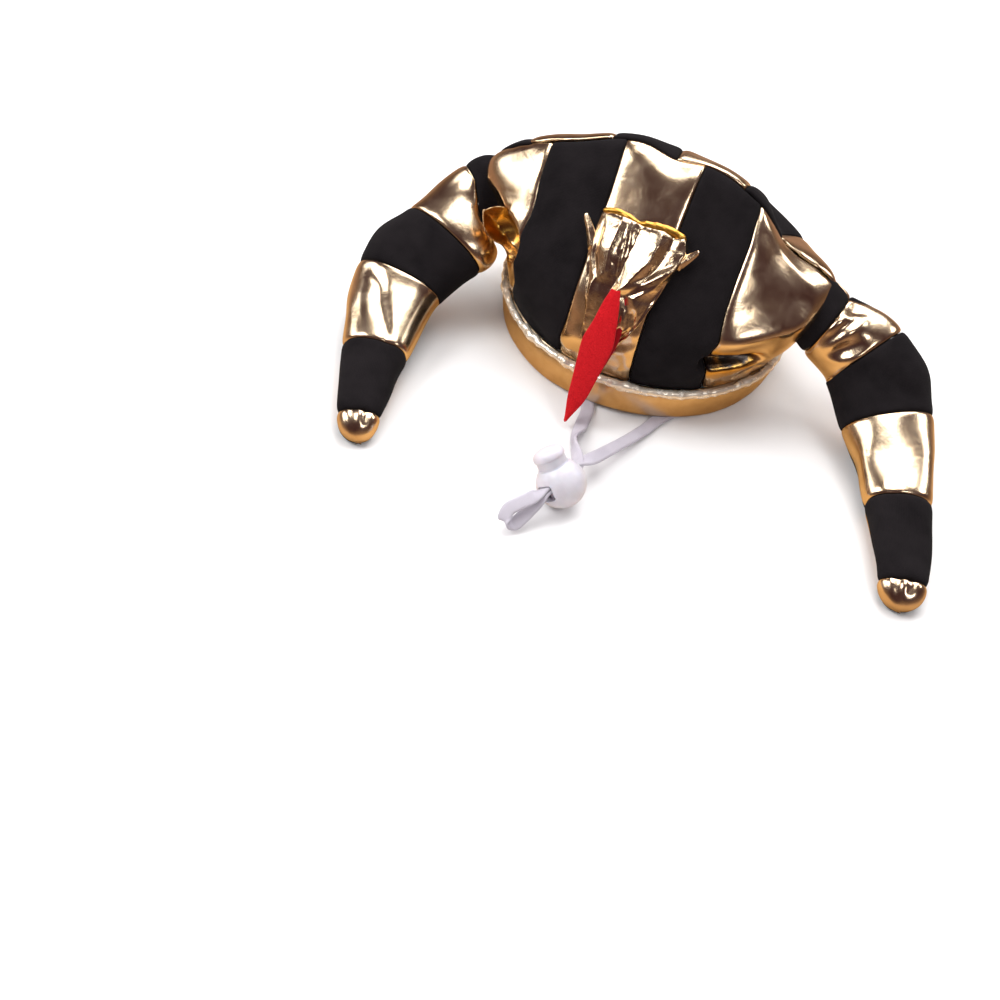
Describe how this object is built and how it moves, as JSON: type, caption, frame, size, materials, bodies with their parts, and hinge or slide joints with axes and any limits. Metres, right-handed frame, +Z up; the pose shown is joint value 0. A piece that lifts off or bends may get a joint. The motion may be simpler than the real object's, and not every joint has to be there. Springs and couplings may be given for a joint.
{
  "type": "pharaoh headdress",
  "caption": "Pet-size striped headdress of black and gold foil cloth: soft crown on a gathered rim, padded lappets, cobra hood with a felt tongue, and a chin elastic with a cord lock.",
  "frame": {"origin": "on the floor, under the middle of the cloth pieces' box, without the chin elastic and its lock", "axes": "+X to the viewer's right across both lappets, +Y to the back of the headdress, +Z up from the rim's lower edge"},
  "size_m": [0.2042, 0.1557, 0.0705],
  "materials": {
    "black_cloth": "matte knit",
    "gold_cloth": "metallic foil",
    "red_felt": "matte felt",
    "white_elastic": "flat woven",
    "white_plastic": "smooth"
  },
  "bodies": {
    "headdress": {"crown_front_1_gold": "gold_cloth", "crown_front_2_black": "black_cloth", "crown_front_3_gold": "gold_cloth", "crown_front_4_black": "black_cloth", "crown_front_5_gold": "gold_cloth", "crown_back_1_black": "black_cloth", "crown_back_2_gold": "gold_cloth", "crown_back_3_black": "black_cloth", "crown_back_4_gold": "gold_cloth", "crown_back_5_black": "black_cloth", "crown_back_6_gold": "gold_cloth", "rim_band": "gold_cloth", "left_lappet_front_1_black": "black_cloth", "left_lappet_front_2_gold": "gold_cloth", "left_lappet_front_3_black": "black_cloth", "left_lappet_front_4_gold": "gold_cloth", "left_lappet_front_5_black": "black_cloth", "left_lappet_front_6_gold": "gold_cloth", "left_lappet_back_1_gold": "gold_cloth", "left_lappet_back_2_black": "black_cloth", "left_lappet_back_3_gold": "gold_cloth", "left_lappet_back_4_black": "black_cloth", "left_lappet_back_5_gold": "gold_cloth", "left_lappet_back_6_black": "black_cloth", "right_lappet_front_1_black": "black_cloth", "right_lappet_front_2_gold": "gold_cloth", "right_lappet_front_3_black": "black_cloth", "right_lappet_front_4_gold": "gold_cloth", "right_lappet_front_5_black": "black_cloth", "right_lappet_front_6_gold": "gold_cloth", "right_lappet_back_1_gold": "gold_cloth", "right_lappet_back_2_black": "black_cloth", "right_lappet_back_3_gold": "gold_cloth", "right_lappet_back_4_black": "black_cloth", "right_lappet_back_5_gold": "gold_cloth", "right_lappet_back_6_black": "black_cloth", "cobra_hood": "gold_cloth", "tongue": "red_felt", "chin_elastic": "white_elastic", "lock_barrel": "white_plastic"},
    "plunger": {"lock_plunger": "white_plastic"}
  },
  "joints": [
    {"name": "lock_press", "type": "slide", "parent": "headdress", "child": "plunger", "axis": [0.6364, -0.2186, -0.7397], "range_m": [0, 0.0021], "stiffness_N_per_m": 300}
  ]
}
